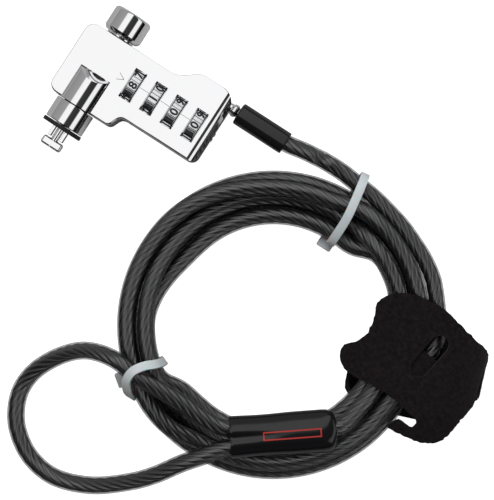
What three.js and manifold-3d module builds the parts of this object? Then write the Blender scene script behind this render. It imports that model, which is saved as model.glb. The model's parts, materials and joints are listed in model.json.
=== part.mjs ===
// Laptop cable lock: a chrome four-dial combination head with a turning T-bar, swivelling on a
// coiled steel cable whose far end is closed into a loop. Millimetres, +Z up.
//
// Head coordinates: X runs along the dial axis from the wide block (0) towards the cable,
// Y runs from the T-bar towards the knob with the dials at 0, Z is the height above the table.
import * as THREE from 'three';
import Module from 'manifold-3d';
import { mergeVertices } from 'three/addons/utils/BufferGeometryUtils.js';

const wasm = await Module();
wasm.setup();

// ---- driving dimensions ----
const FIT = 0.3; // gap between neighbouring pieces
const BODY_LENGTH = 49.3;
const BLOCK_LOW = -14.25; // wide block, T-bar side
const BLOCK_HIGH = 9.6; // wide block, knob side
const DIALS_LOW = -9.95; // dial block, T-bar side
const DIALS_HIGH = 14.3; // dial block, knob side
const REAR_TOP = 1.2; // outer face of the rear cover is the table, z = 0
const PLATE_TOP = 12.6;
const TOP_WALL = 1.3;

const DIAL_PITCH = 7.3;
const FIRST_DIAL_X = 21.3;
const DIAL_COUNT = 4;
const DIAL_AXIS_Z = 7.8;
const DIAL_RADIUS = 6.2;
const DIAL_BORE = 4.2;
const DIAL_WIDTH = 3;
const WINDOW_LENGTH = 9.4;
const WINDOW_WIDTH = 3.5;
const HUB_RADIUS = DIAL_BORE - FIT;
const GATE_TRAVEL = 1.8; // slide of the toothed shaft when the knob is turned

const SPINDLE_X = 10;
const SPINDLE_Z = 9;
const BARREL_RADIUS = 6.25;
const BARREL_END = -21.3;
const WASHER_END = -22.8;
const T_HEAD_NEAR = -26.4;
const T_HEAD_FAR = -29.1;
const T_HEAD_WIDTH = 6.8;
const KNOB_NEAR = 10.4;
const KNOB_FAR = 18.1;
const KNOB_RADIUS = 6.1;
const BOSS_END = -3; // where the half-round boss runs out on the top face

const STUD_Y = 10.5;
const STUD_Z = 6.3;
const STUD_END = 52; // where the sleeve starts
const STUD_TAIL = 57; // end of the stud, crimped to the cable inside the sleeve
const SLEEVE_END = 69;

const CABLE_RADIUS = 2.7;
const COIL_X = 95.5;
const COIL_Y = -37.35;
const COIL_BASE = 1.5; // underside of the lowest strands, on the ties' bands
const LAY_TURN = 32.9; // degrees between the head's X axis and the lay's own 0 degree line
const COIL_STEPS = 60;

// bounding box of the head, whose bottom centre is the part's origin
const HEAD_CENTRE_X = STUD_TAIL / 2;
const HEAD_CENTRE_Y = (T_HEAD_FAR + KNOB_FAR) / 2;

// ---- materials ----
const finish = (color, roughness, metalness) =>
  new THREE.MeshStandardMaterial({ color, roughness, metalness });
const chrome = finish(0xd9dadc, 0.08, 1);
const steel = finish(0x9a9da1, 0.3, 1);
const brass = finish(0xb5965a, 0.35, 1);
const dialMetal = finish(0xc9cbce, 0.18, 1);
const rubber = finish(0x111113, 0.7, 0);
const blackPlastic = finish(0x0c0c0e, 0.2, 0);
const cableJacket = finish(0x26272a, 0.25, 0.3);
const nylon = finish(0xd5dadb, 0.45, 0);
const felt = finish(0x141113, 0.95, 0);

const row = new THREE.Group();
const head = new THREE.Group();
head.position.set(-HEAD_CENTRE_X, -HEAD_CENTRE_Y, 0);
row.add(head);

// ---- solid helpers ----
// Weld a geometry by position, drop slivers, and return it as a manifold facing out.
function solid(geometry) {
  const bare = geometry.clone();
  bare.deleteAttribute('normal');
  bare.deleteAttribute('uv');
  const welded = mergeVertices(bare, 1e-4);
  const index = welded.index.array;
  const place = welded.attributes.position;
  const corners = [0, 1, 2].map(() => new THREE.Vector3());
  const kept = [];
  let volume = 0;
  for (let i = 0; i < index.length; i += 3) {
    const [a, b, c] = [index[i], index[i + 1], index[i + 2]];
    if (a === b || b === c || c === a) continue;
    kept.push(a, b, c);
    corners.forEach((corner, k) => corner.fromBufferAttribute(place, index[i + k]));
    volume += corners[0].dot(corners[1].clone().cross(corners[2]));
  }
  if (volume < 0) kept.reverse();
  return new wasm.Manifold(new wasm.Mesh({
    numProp: 3,
    vertProperties: new Float32Array(place.array),
    triVerts: new Uint32Array(kept),
  }));
}

function piece(name, shape, material) {
  const mesh = shape.getMesh();
  const geometry = new THREE.BufferGeometry();
  geometry.setAttribute('position', new THREE.BufferAttribute(mesh.vertProperties, 3));
  geometry.setIndex(new THREE.BufferAttribute(mesh.triVerts, 1));
  geometry.computeVertexNormals();
  const part = new THREE.Mesh(geometry, material);
  part.name = name;
  head.add(part);
}

const joined = (solids) => solids.reduce((whole, next) => whole.add(next));
const without = (whole, cuts) => cuts.reduce((left, cut) => left.subtract(cut), whole);

function block(low, high) {
  const [x, y, z] = [0, 1, 2].map((i) => high[i] - low[i]);
  const box = new THREE.BoxGeometry(x, y, z);
  box.translate(low[0] + x / 2, low[1] + y / 2, low[2] + z / 2);
  return solid(box);
}

function rodY(x, z, radius, from, to, sides = 24) {
  const rod = new THREE.CylinderGeometry(radius, radius, to - from, sides);
  rod.translate(x, (from + to) / 2, z);
  return solid(rod);
}

function rodX(y, z, radius, from, to, sides = 24) {
  const rod = new THREE.CylinderGeometry(radius, radius, to - from, sides);
  rod.rotateZ(-Math.PI / 2);
  rod.translate((from + to) / 2, y, z);
  return solid(rod);
}

function rodZ(x, y, radius, from, to, sides = 20) {
  const rod = new THREE.CylinderGeometry(radius, radius, to - from, sides);
  rod.rotateX(Math.PI / 2);
  rod.translate(x, y, (from + to) / 2);
  return solid(rod);
}

// A turned piece about an axis along X or Y, from [radius, position] pairs on one closed profile.
function turned(axis, profile, first, second, sides = 28) {
  const points = profile.map(([radius, along]) => new THREE.Vector2(radius, along));
  if (profile[0][0] > 0) points.push(points[0].clone());
  const lathe = new THREE.LatheGeometry(points, sides);
  if (axis === 'x') {
    lathe.rotateZ(-Math.PI / 2);
    lathe.translate(0, first, second);
  } else {
    lathe.translate(first, 0, second);
  }
  return solid(lathe);
}

// ---- body outline: a wide block and a dial block joined by a soft step on each long edge ----
function bodyOutline() {
  const shape = new THREE.Shape();
  const [left, low, right] = [3, 2.5, 5];
  shape.moveTo(left, BLOCK_LOW);
  shape.lineTo(20.2, BLOCK_LOW);
  shape.bezierCurveTo(23.4, BLOCK_LOW, 21.6, DIALS_LOW, 25.2, DIALS_LOW);
  shape.absarc(BODY_LENGTH - low, DIALS_LOW + low, low, -Math.PI / 2, 0, false);
  shape.absarc(BODY_LENGTH - right, DIALS_HIGH - right, right, 0, Math.PI / 2, false);
  shape.lineTo(38.6, DIALS_HIGH);
  shape.bezierCurveTo(34.6, DIALS_HIGH, 33.2, BLOCK_HIGH, 28.4, BLOCK_HIGH);
  shape.absarc(left, BLOCK_HIGH - left, left, Math.PI / 2, Math.PI, false);
  shape.absarc(left, BLOCK_LOW + left, left, Math.PI, 1.5 * Math.PI, false);
  return shape;
}

function bodySlab(from, to, bevel) {
  const slab = new THREE.ExtrudeGeometry(bodyOutline(), {
    depth: to - from - 2 * bevel,
    curveSegments: 5,
    bevelEnabled: true,
    bevelThickness: bevel,
    bevelSize: bevel,
    bevelOffset: -bevel,
    bevelSegments: 2,
  });
  slab.translate(0, 0, from + bevel);
  return solid(slab);
}

const dialX = (index) => FIRST_DIAL_X + index * DIAL_PITCH;
const dialIndexes = [...Array(DIAL_COUNT).keys()];

// ---- housing ----
const rivetPlaces = [[2.4, 6.4], [18, -11], [38.8, 11]];
const RIVET_RADIUS = 1;

function frontCover() {
  const seat = REAR_TOP + FIT;
  const shell = bodySlab(-4, PLATE_TOP, 0.8);
  const boss = rodY(SPINDLE_X, SPINDLE_Z, BARREL_RADIUS, BLOCK_LOW, BOSS_END, 30);
  // The boss runs out in a slope that faces the knob.
  const slope = new THREE.BoxGeometry(20, 12, 6);
  slope.translate(0, 6, 3);
  slope.rotateX(THREE.MathUtils.degToRad(45));
  slope.translate(SPINDLE_X, BOSS_END, PLATE_TOP);
  const cuts = [
    block([-1, -20, -6], [51, 20, seat]),
    rodY(SPINDLE_X, SPINDLE_Z, 4.3, -15, -6),
    block([4.6, -6.2, -1], [17.6, 5.4, PLATE_TOP - TOP_WALL]),
    rodY(SPINDLE_X, SPINDLE_Z, 3.4, 5, 11),
    rodX(0, DIAL_AXIS_Z, 1.6, 17, 21, 20),
    block([19, -DIAL_BORE, -1], [46.4, DIAL_BORE, DIAL_AXIS_Z]),
    rodX(0, DIAL_AXIS_Z, DIAL_BORE, 19, 46.4),
    block([19, DIAL_RADIUS + 0.2, -1], [46, 8.4, 10.4]),
    rodX(0, DIAL_AXIS_Z, 2, 45, 51, 24),
    rodX(STUD_Y, STUD_Z, 3.3, 44, 46.9),
    block([44, STUD_Y - 3.3, -1], [46.9, STUD_Y + 3.3, STUD_Z]),
    rodX(STUD_Y, STUD_Z, 1.8, 46, 51, 24),
    ...rivetPlaces.map(([x, y]) => rodZ(x, y, RIVET_RADIUS + FIT, 0, 7, 12)),
  ];
  dialIndexes.forEach((index) => {
    const x = dialX(index);
    const half = WINDOW_WIDTH / 2;
    cuts.push(
      block([x - half, -DIAL_RADIUS - FIT, -1], [x + half, DIAL_RADIUS + FIT, DIAL_AXIS_Z]),
      rodX(0, DIAL_AXIS_Z, DIAL_RADIUS + FIT, x - half, x + half, 30),
      block([x - half, -WINDOW_LENGTH / 2, 9], [x + half, WINDOW_LENGTH / 2, 15]),
    );
  });
  return without(shell.add(without(boss, [solid(slope)])), cuts);
}

piece('front_cover', frontCover(), chrome);
piece('rear_cover', without(bodySlab(0, 4, 0.5), [
  block([-1, -20, REAR_TOP], [51, 20, 6]),
  ...rivetPlaces.map(([x, y]) => rodZ(x, y, RIVET_RADIUS + FIT, -1, 5, 12)),
]), chrome);
rivetPlaces.forEach(([x, y], index) => {
  piece(`cover_rivet_${index + 1}`, rodZ(x, y, RIVET_RADIUS, 0.1, 6.6, 12), steel);
});

// ---- barrel, guard bars and washer ----
piece('barrel', turned('y', [
  [1.8, BARREL_END], [BARREL_RADIUS - 0.3, BARREL_END], [BARREL_RADIUS, BARREL_END + 0.3],
  [BARREL_RADIUS, BLOCK_LOW - FIT], [4, BLOCK_LOW - FIT], [4, -6.5], [1.8, -6.5],
], SPINDLE_X, SPINDLE_Z, 30), chrome);
piece('rubber_washer', turned('y', [
  [3.5, WASHER_END], [6.2, WASHER_END], [6.45, WASHER_END + 0.3], [6.45, BARREL_END - 0.2],
  [3.5, BARREL_END - 0.2],
], SPINDLE_X, SPINDLE_Z, 28), rubber);
[-1, 1].forEach((side, index) => {
  const x = SPINDLE_X + side * 2.05;
  piece(`guard_bar_${index + 1}`, block(
    [x - 0.55, T_HEAD_NEAR + 0.4, SPINDLE_Z - 1.3],
    [x + 0.55, BARREL_END - 0.05, SPINDLE_Z + 1.3],
  ), chrome);
});

// ---- spindle with its T head and face cam, and the knob pinned to it ----
// The cam's edge grows by the toothed shaft's travel over a quarter turn.
function cam() {
  const shape = new THREE.Shape();
  const base = 2;
  const steps = 10;
  for (let step = 0; step <= steps; step += 1) {
    const angle = -(Math.PI / 2) * (step / steps);
    const radius = base + GATE_TRAVEL * (step / steps);
    shape.lineTo(radius * Math.cos(angle), radius * Math.sin(angle));
  }
  shape.absarc(0, 0, base, Math.PI, 0, true);
  const plate = new THREE.ExtrudeGeometry(shape, { depth: 3, bevelEnabled: false, curveSegments: 8 });
  plate.rotateX(Math.PI / 2);
  plate.translate(SPINDLE_X, 1.5, SPINDLE_Z);
  return solid(plate);
}

const spindleRod = turned('y', [
  [0, T_HEAD_FAR + 0.2], [1.15, T_HEAD_FAR + 0.2], [1.15, BARREL_END - 0.2], [1.5, BARREL_END],
  [1.5, KNOB_FAR - 1.6], [0, KNOB_FAR - 1.6],
], SPINDLE_X, SPINDLE_Z, 24);
const tHead = block(
  [SPINDLE_X - T_HEAD_WIDTH / 2, T_HEAD_FAR, SPINDLE_Z - 1.2],
  [SPINDLE_X + T_HEAD_WIDTH / 2, T_HEAD_NEAR, SPINDLE_Z + 1.2],
);
const PIN_Y = 14;
piece('spindle', without(joined([spindleRod, tHead, cam()]), [
  rodX(PIN_Y, SPINDLE_Z, 0.8, SPINDLE_X - 5, SPINDLE_X + 5, 12),
]), steel);
piece('knob', without(turned('y', [
  [1.8, KNOB_NEAR], [KNOB_RADIUS - 0.3, KNOB_NEAR], [KNOB_RADIUS, KNOB_NEAR + 0.3],
  [KNOB_RADIUS, KNOB_FAR - 0.5], [KNOB_RADIUS - 0.5, KNOB_FAR], [0, KNOB_FAR],
  [0, KNOB_FAR - 1.3], [1.8, KNOB_FAR - 1.3],
].reverse(), SPINDLE_X, SPINDLE_Z, 30), [
  rodX(PIN_Y, SPINDLE_Z, 0.8, SPINDLE_X - 4.4, SPINDLE_X + 4.4, 12),
]), chrome);
piece('knob_pin', rodX(PIN_Y, SPINDLE_Z, 0.5, SPINDLE_X - 4, SPINDLE_X + 4, 12), steel);
piece('spindle_bush', turned('y', [
  [1.8, 5.7], [3.1, 5.7], [3.1, 9.6], [4.4, 9.8], [4.4, 10.2], [1.8, 10.2],
], SPINDLE_X, SPINDLE_Z, 28), brass);
piece('retaining_clip', without(turned('y', [
  [1.75, 3.2], [2.2, 3.2], [2.2, 3.9], [1.75, 3.9],
], SPINDLE_X, SPINDLE_Z, 24), [
  block([SPINDLE_X - 0.8, 3, SPINDLE_Z], [SPINDLE_X + 0.8, 4, SPINDLE_Z + 4]),
]), steel);

// ---- toothed shaft that the cam slides through the hubs' gates ----
const NOSE_X = 12.8;
const RING_OFFSET = 1; // hub ring from the dial's middle plane
const RING_THICKNESS = 0.35; // thin enough for the teeth to pass right through it
function toothedShaft() {
  const shaft = turned('x', [
    [0, NOSE_X], [1.2, NOSE_X], [2.4, NOSE_X + 0.2], [2.4, NOSE_X + 0.9], [1.2, NOSE_X + 0.9],
    [1.2, 44.2], [0, 44.2],
  ], 0, DIAL_AXIS_Z, 20);
  const teeth = dialIndexes.map((index) => {
    const x = dialX(index) + RING_OFFSET - 1.3;
    return block([x, -0.5, DIAL_AXIS_Z - 2.9], [x + 0.8, 0.5, DIAL_AXIS_Z - 0.6]);
  });
  return joined([shaft, ...teeth]);
}
piece('toothed_shaft', toothedShaft(), steel);

// A compression spring as a round wire wound along X.
class WoundWire extends THREE.Curve {
  getPoint(t) {
    const angle = t * 2 * Math.PI * 2.5;
    return new THREE.Vector3(14.2 + 3 * t, 1.75 * Math.cos(angle), 1.75 * Math.sin(angle));
  }
}
const wireSection = new THREE.Shape(new THREE.EllipseCurve(0, 0, 0.24, 0.24, 0, 2 * Math.PI).getPoints(5));
const springWire = new THREE.ExtrudeGeometry(wireSection, {
  steps: 30, extrudePath: new WoundWire(), bevelEnabled: false,
});
springWire.translate(0, 0, DIAL_AXIS_Z);
piece('shaft_spring', solid(springWire), steel);

// ---- dials and their code hubs ----
dialIndexes.forEach((index) => {
  const x = dialX(index);
  const half = DIAL_WIDTH / 2;
  piece(`dial_${index + 1}`, turned('x', [
    [DIAL_BORE, x - half], [DIAL_RADIUS - 0.3, x - half], [DIAL_RADIUS, x - half + 0.3],
    [DIAL_RADIUS, x + half - 0.3], [DIAL_RADIUS - 0.3, x + half], [DIAL_BORE, x + half],
  ], 0, DIAL_AXIS_Z, 30), dialMetal);
  const ring = x + RING_OFFSET;
  piece(`code_hub_${index + 1}`, without(turned('x', [
    [3.2, x - 1.4], [HUB_RADIUS, x - 1.4], [HUB_RADIUS, x + 2.6], [3.2, x + 2.6],
    [3.2, ring + RING_THICKNESS], [1.6, ring + RING_THICKNESS], [1.6, ring], [3.2, ring],
  ], 0, DIAL_AXIS_Z, 18), [
    block([ring - 0.2, -0.8, DIAL_AXIS_Z - 3.2], [ring + 1, 0.8, DIAL_AXIS_Z - 1]),
  ]), brass);
});
const leafBumps = dialIndexes.map((index) => rodZ(dialX(index), 7, 0.6, 6.8, 8.8, 10));
piece('detent_leaf', joined([
  block([19.6, 7.2, 2.2], [44, 7.6, 9.6]),
  ...leafBumps,
]), steel);
piece('reset_screw', without(turned('x', [
  [0, 46.8], [1.7, 46.8], [1.7, 49.5], [1.4, 49.8], [0, 49.8],
], 0, DIAL_AXIS_Z, 24), [
  block([49, -0.35, 5], [51, 0.35, 11]),
]), steel);

// ---- swivel stud, ferrule and sleeve at the head end of the cable ----
piece('swivel_stud', turned('x', [
  [0, 44.3], [2.4, 44.3], [3, 44.9], [3, 46.6], [1.5, 46.6], [1.5, STUD_TAIL], [0, STUD_TAIL],
], STUD_Y, STUD_Z, 24), chrome);
piece('cable_ferrule', turned('x', [
  [1.8, STUD_END + 1.2], [2.55, STUD_END + 1.2], [2.55, 60], [1.8, 60],
], STUD_Y, STUD_Z, 24), steel);
piece('head_sleeve', turned('x', [
  [1.8, STUD_END], [2.7, STUD_END], [3.5, STUD_END + 0.9], [3.5, SLEEVE_END - 0.9],
  [3.25, SLEEVE_END - 0.2], [3, SLEEVE_END], [3, STUD_END + 0.9], [1.8, STUD_END + 0.9],
], STUD_Y, STUD_Z, 28), blackPlastic);

// ---- the coil's section, which the ties and the crossover squeeze from wide to tall ----
const LAY = THREE.MathUtils.degToRad(LAY_TURN);
// A place around the coil: degrees from the lay's 0 line, anticlockwise from above.
function aroundCoil(degrees, radius, z) {
  const angle = THREE.MathUtils.degToRad(degrees) + LAY;
  return new THREE.Vector3(COIL_X + radius * Math.cos(angle), COIL_Y + radius * Math.sin(angle), z);
}

function bump(degrees, middle, halfWidth) {
  const away = Math.abs(((degrees - middle + 540) % 360) - 180);
  return away < halfWidth ? Math.cos((Math.PI / 2) * (away / halfWidth)) ** 2 : 0;
}
const squeeze = (degrees) => Math.min(1, bump(degrees, 192, 55) + bump(degrees, 22, 52));
// 1 where the incoming lead lies against the outside of the turns, 0 elsewhere.
function leadBeside(degrees) {
  const signed = ((degrees + 540) % 360) - 180;
  return THREE.MathUtils.smoothstep(74 - signed, 0, 14) * THREE.MathUtils.smoothstep(signed + 42, 0, 18);
}

// Corners of the coil's section, [radius, height], wide and tall, outer side first.
const wideSection = [
  [43.8, 0], [46.5, 4.7], [46.5, 10], [43.4, 14.7], [40.2, 14.7], [38.4, 12.4], [38.2, 10.3],
  [31.2, 10.1], [30.2, 5.5], [33.2, 0],
];
const tallSection = [
  [45.6, 0], [46.6, 5.4], [46.6, 13], [45.6, 16.2], [38, 16.2], [37, 16.2], [36.4, 15.2],
  [36, 13], [36, 5.4], [36.8, 0],
];
const bulgingCorners = [1, 2, 3]; // these move out where the lead lies beside the turns
const LEAD_BULGE = 4.6;

function coilRing() {
  const profile = wideSection.map(([radius, z]) => new THREE.Vector2(radius, z));
  profile.push(profile[0].clone());
  const ring = new THREE.LatheGeometry(profile, COIL_STEPS);
  const place = ring.attributes.position;
  for (let i = 0; i < place.count; i += 1) {
    const corner = (i % profile.length) % wideSection.length;
    const step = Math.floor(i / profile.length) % COIL_STEPS;
    const degrees = (360 * step) / COIL_STEPS;
    const tall = squeeze(degrees);
    const bulge = bulgingCorners.includes(corner) ? LEAD_BULGE * leadBeside(degrees) : 0;
    const radius = THREE.MathUtils.lerp(wideSection[corner][0], tallSection[corner][0], tall) + bulge;
    const z = THREE.MathUtils.lerp(wideSection[corner][1], tallSection[corner][1], tall);
    const point = aroundCoil(degrees, radius, COIL_BASE + z);
    place.setXYZ(i, point.x, point.y, point.z);
  }
  return solid(ring);
}
piece('cable_coil', coilRing(), cableJacket);

// ---- the stretches of cable that aren't coiled ----
function cableAlong(points, steps) {
  const section = new THREE.Shape(
    new THREE.EllipseCurve(0, 0, CABLE_RADIUS, CABLE_RADIUS, 0, 2 * Math.PI).getPoints(10),
  );
  const path = new THREE.CatmullRomCurve3(points, false, 'centripetal');
  return solid(new THREE.ExtrudeGeometry(section, { steps, extrudePath: path, bevelEnabled: false }));
}
const at = (x, y, z) => new THREE.Vector3(x, y, z);

piece('cable_lead', cableAlong([
  at(60.4, STUD_Y, STUD_Z), at(65, STUD_Y, STUD_Z), at(69.6, 10.7, 6.6),
  at(75, 11.6, 7.9), at(80, 12.1, 9.6), aroundCoil(73, 51.6, 11.4),
], 14), cableJacket);

// ---- far end: two legs of the loop crimped side by side in an oval sleeve ----
const SLEEVE_Z = 19;
const sleeveRight = aroundCoil(-59, 35.7, SLEEVE_Z);
const sleeveLeft = aroundCoil(-111.5, 35.4, SLEEVE_Z);
const sleeveLength = sleeveRight.distanceTo(sleeveLeft);
const sleeveTurn = Math.atan2(sleeveLeft.y - sleeveRight.y, sleeveLeft.x - sleeveRight.x);

// A point by its distance along the sleeve from the coil end, and sideways from its axis.
function alongSleeve(distance, sideways) {
  return at(
    sleeveRight.x + distance * Math.cos(sleeveTurn) - sideways * Math.sin(sleeveTurn),
    sleeveRight.y + distance * Math.sin(sleeveTurn) + sideways * Math.cos(sleeveTurn),
    SLEEVE_Z,
  );
}

// An oval prism along the sleeve's axis.
function ovalAlongSleeve(halfWidth, halfHeight, start, end) {
  const section = new THREE.Shape(
    new THREE.EllipseCurve(0, 0, halfWidth, halfHeight, 0, 2 * Math.PI).getPoints(28),
  );
  const prism = new THREE.ExtrudeGeometry(section, { depth: end - start, bevelEnabled: false });
  prism.rotateX(Math.PI / 2);
  prism.rotateZ(sleeveTurn + Math.PI / 2);
  const middle = alongSleeve(start, 0);
  prism.translate(middle.x, middle.y, middle.z);
  return solid(prism);
}
piece('loop_sleeve', ovalAlongSleeve(6.35, 4, 0, sleeveLength)
  .subtract(ovalAlongSleeve(6.05, 3.6, -1, sleeveLength + 1)), blackPlastic);

const LEG_OFFSET = 3;
piece('cable_loop', cableAlong([
  aroundCoil(-33, 35.3, 15.2), aroundCoil(-43, 35.4, 16), alongSleeve(-1, -0.6),
  alongSleeve(8, -1.6), alongSleeve(16, -LEG_OFFSET), alongSleeve(sleeveLength - 2, -LEG_OFFSET),
  alongSleeve(sleeveLength + 2, -LEG_OFFSET), at(91.5, -71.6, 19.6), at(85, -71.2, 20.2),
  at(74.1, -71.5, 20.9), at(68.5, -71.6, 21), at(62, -71.1, 20.7), at(56.2, -72.2, 18.4),
  at(51.3, -74.8, 14.8), at(45.8, -81.3, 8.6),
  at(42.3, -89.2, 4.4), at(42, -95.9, 3), at(44.1, -101.6, 2.8), at(47.8, -106.4, 2.8),
  at(55, -111, 2.9), at(64.1, -112.3, 3.6), at(75, -108.3, 6.2), at(85, -99.9, 11.4),
  at(90, -93.8, 15), at(94.6, -86.5, 18), at(98.3, -81.6, 19.1),
  alongSleeve(sleeveLength + 1, LEG_OFFSET), alongSleeve(sleeveLength - 4, LEG_OFFSET),
  alongSleeve(sleeveLength - 15, LEG_OFFSET),
], 46), cableJacket);

// ---- ties and strap around the coil, drawn in its section and extruded across it ----
// Shift a run of [radius, height] points to its right, mitred at the corners.
function shifted(points, distance, closed) {
  return points.map((point, i) => {
    const last = points.length - 1;
    const before = points[i - 1] ?? (closed ? points[last] : null);
    const after = points[i + 1] ?? (closed ? points[0] : null);
    const normals = [[before, point], [point, after]].filter(([a, b]) => a && b).map(([a, b]) => {
      const length = Math.hypot(b[0] - a[0], b[1] - a[1]);
      return [(b[1] - a[1]) / length, -(b[0] - a[0]) / length];
    });
    const sum = [0, 1].map((axis) => normals.reduce((total, normal) => total + normal[axis], 0));
    const scale = (distance * normals.length) / (sum[0] ** 2 + sum[1] ** 2);
    return [point[0] + sum[0] * scale, point[1] + sum[1] * scale];
  });
}

const shapeOf = (points) => new THREE.Shape(points.map(([radius, z]) => new THREE.Vector2(radius, z)));

// Extrude a section across the coil: x runs outward and y up, centred on one direction.
function acrossCoil(section, degrees, width) {
  const prism = new THREE.ExtrudeGeometry(section, { depth: width, bevelEnabled: false });
  prism.translate(0, 0, -width / 2);
  prism.rotateX(Math.PI / 2);
  prism.rotateZ(THREE.MathUtils.degToRad(degrees) + LAY);
  prism.translate(COIL_X, COIL_Y, 0);
  return solid(prism);
}

const TIE_WIDTH = 2.8;
const TIE_THICKNESS = 1.1;
const UNDER_BAND = 1.2; // inner face of every band that passes under the coil
function tie(degrees, inside, headCorner) {
  const band = shapeOf(shifted(inside, TIE_THICKNESS, true));
  band.holes.push(new THREE.Path(inside.map(([radius, z]) => new THREE.Vector2(radius, z))));
  const [radius, z] = headCorner;
  const lock = shapeOf([[radius, z], [radius + 3.4, z], [radius + 3.4, z + 4], [radius, z + 4]]);
  return acrossCoil(band, degrees, TIE_WIDTH).add(acrossCoil(lock, degrees, 4.6));
}
piece('tie_1', tie(57, [
  [32.8, UNDER_BAND], [45.4, UNDER_BAND], [51.7, 6], [51.7, 14], [48.6, 16.9], [38, 16.9],
  [29.7, 12.4], [29.7, 6.8],
], [27.5, 0.3]), nylon);
piece('tie_2', tie(200, [
  [35.6, UNDER_BAND], [46.4, UNDER_BAND], [47.1, 6], [47.6, 21], [46.4, 24.3], [38.6, 24.3],
  [35.1, 18.5], [35.1, 4],
], [47.1, 0.6]), nylon);

const STRAP_THICKNESS = 1.1;
const strapInside = [
  [22.5, 18.3], [34, 18.5], [52, 18.5], [60, 15.5], [63, 9.5], [60.5, 3.5], [54, 1.3],
  [40, 1.3], [27.8, 1.3], [26, 3.2], [25.8, 10],
];
const strapOutside = shifted(strapInside, -STRAP_THICKNESS, false);
piece('strap', acrossCoil(
  shapeOf([...strapInside, ...strapOutside.reverse()]), -12.5, 30,
), felt);

export default row;
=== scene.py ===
"""Laptop cable lock on a white table, from above: chrome head, coiled cable, ties and strap.

Sizes are in millimetres in head coordinates, as in part.mjs: X along the dial axis towards the
cable, Y towards the knob, Z up. They become metres in the row frame when a mesh is made.
"""
import json
import math

import bmesh
import bpy
import numpy as np
from mathutils import Matrix, Vector
from mathutils.geometry import delaunay_2d_cdt


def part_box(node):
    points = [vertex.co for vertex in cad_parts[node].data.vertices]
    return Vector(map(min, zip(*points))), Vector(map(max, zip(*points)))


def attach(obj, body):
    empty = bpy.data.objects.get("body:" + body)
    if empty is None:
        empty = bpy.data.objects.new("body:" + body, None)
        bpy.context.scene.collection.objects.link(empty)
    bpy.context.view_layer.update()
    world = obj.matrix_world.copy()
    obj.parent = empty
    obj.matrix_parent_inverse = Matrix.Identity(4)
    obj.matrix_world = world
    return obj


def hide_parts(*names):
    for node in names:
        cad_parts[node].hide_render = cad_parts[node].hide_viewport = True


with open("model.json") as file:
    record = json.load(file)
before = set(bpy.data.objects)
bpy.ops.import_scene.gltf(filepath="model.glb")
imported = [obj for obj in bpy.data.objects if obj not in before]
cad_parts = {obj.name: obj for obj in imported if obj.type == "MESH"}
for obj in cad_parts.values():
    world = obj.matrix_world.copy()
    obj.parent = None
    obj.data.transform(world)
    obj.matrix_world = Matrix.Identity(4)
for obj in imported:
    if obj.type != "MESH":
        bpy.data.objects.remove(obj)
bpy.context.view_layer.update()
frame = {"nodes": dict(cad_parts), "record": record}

# ---- the frame's own places ----
MM = 0.001
cover_low, cover_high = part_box("front_cover")
stud_low, stud_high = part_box("swivel_stud")
BLOCK_LOW = -14.25
SHIFT = np.array([cover_low.x / MM, cover_low.y / MM - BLOCK_LOW, 0.0])
PLATE_TOP = 12.6
BODY_LENGTH = (cover_high.x - cover_low.x) / MM
STUD_Y = 10.5
STUD_Z = (stud_low.z + stud_high.z) / 2 / MM
STUD_TAIL = stud_high.x / MM - SHIFT[0]
SLEEVE_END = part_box("head_sleeve")[1].x / MM - SHIFT[0]

CABLE_RADIUS = 2.7
COIL = np.array([95.5, -37.35])
COIL_BASE = 1.5
LAY = math.radians(32.9)
CORNERS = ((-1, -1), (1, -1), (1, 1), (-1, 1))


def row(x, y, z):
    """Head coordinates in millimetres to the row frame in metres."""
    return Vector((np.array([x, y, z]) + SHIFT) * MM)


def around_coil(degrees, radius, z):
    angle = math.radians(degrees) + LAY
    return [COIL[0] + radius * math.cos(angle), COIL[1] + radius * math.sin(angle), z]


def coil_directions(degrees):
    """Unit directions out from the coil's centre and round it."""
    angle = math.radians(degrees) + LAY
    out = np.array([math.cos(angle), math.sin(angle), 0])
    return out, np.array([-out[1], out[0], 0])


def smoothstep(x):
    x = min(1.0, max(0.0, x))
    return x * x * (3 - 2 * x)


def add_object(name, data):
    made = bpy.data.objects.new(name, data)
    bpy.context.scene.collection.objects.link(made)
    return made


# ---- camera, straight down, with the head's X axis pointing down to the right ----
CAMERA_HEIGHT = 640.0
PICTURE_SIDE = 150.0
LOOK_Z = 10


def make_camera():
    look = row(76.6, -22.8, LOOK_Z)
    right = Vector((0.840, 0.543, 0))
    data = bpy.data.cameras.new("camera")
    data.lens = data.sensor_width * (CAMERA_HEIGHT - LOOK_Z) / PICTURE_SIDE
    data.clip_end = 10
    camera = add_object("camera", data)
    camera.rotation_euler = (0, 0, math.atan2(right.y, right.x))
    camera.location = (look.x, look.y, CAMERA_HEIGHT * MM)
    bpy.context.scene.camera = camera
    bpy.context.scene.view_settings.view_transform = "Standard"


make_camera()


# ---- materials ----
def shader(name, color, roughness, metallic=0.0, **sockets):
    material = bpy.data.materials.new(name)
    material.use_nodes = True
    inputs = principled(material).inputs
    inputs["Base Color"].default_value = (*color, 1)
    inputs["Roughness"].default_value = roughness
    inputs["Metallic"].default_value = metallic
    for socket, value in sockets.items():
        inputs[socket.replace("_", " ")].default_value = value
    return material


def principled(material):
    return material.node_tree.nodes["Principled BSDF"]


def add_node(owner, kind, **values):
    """A node with its settings and its sockets' values. An underscore stands for a space."""
    made = owner.node_tree.nodes.new(kind)
    for key, value in values.items():
        socket = key.replace("_", " ")
        if socket in made.inputs:
            made.inputs[socket].default_value = value
        else:
            setattr(made, key, value)
    return made


def connect(owner, *links):
    """Makes links, each given as a node and its output, then a node and its input."""
    for source, output, target, socket in links:
        owner.node_tree.links.new(source.outputs[output], target.inputs[socket])


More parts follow.
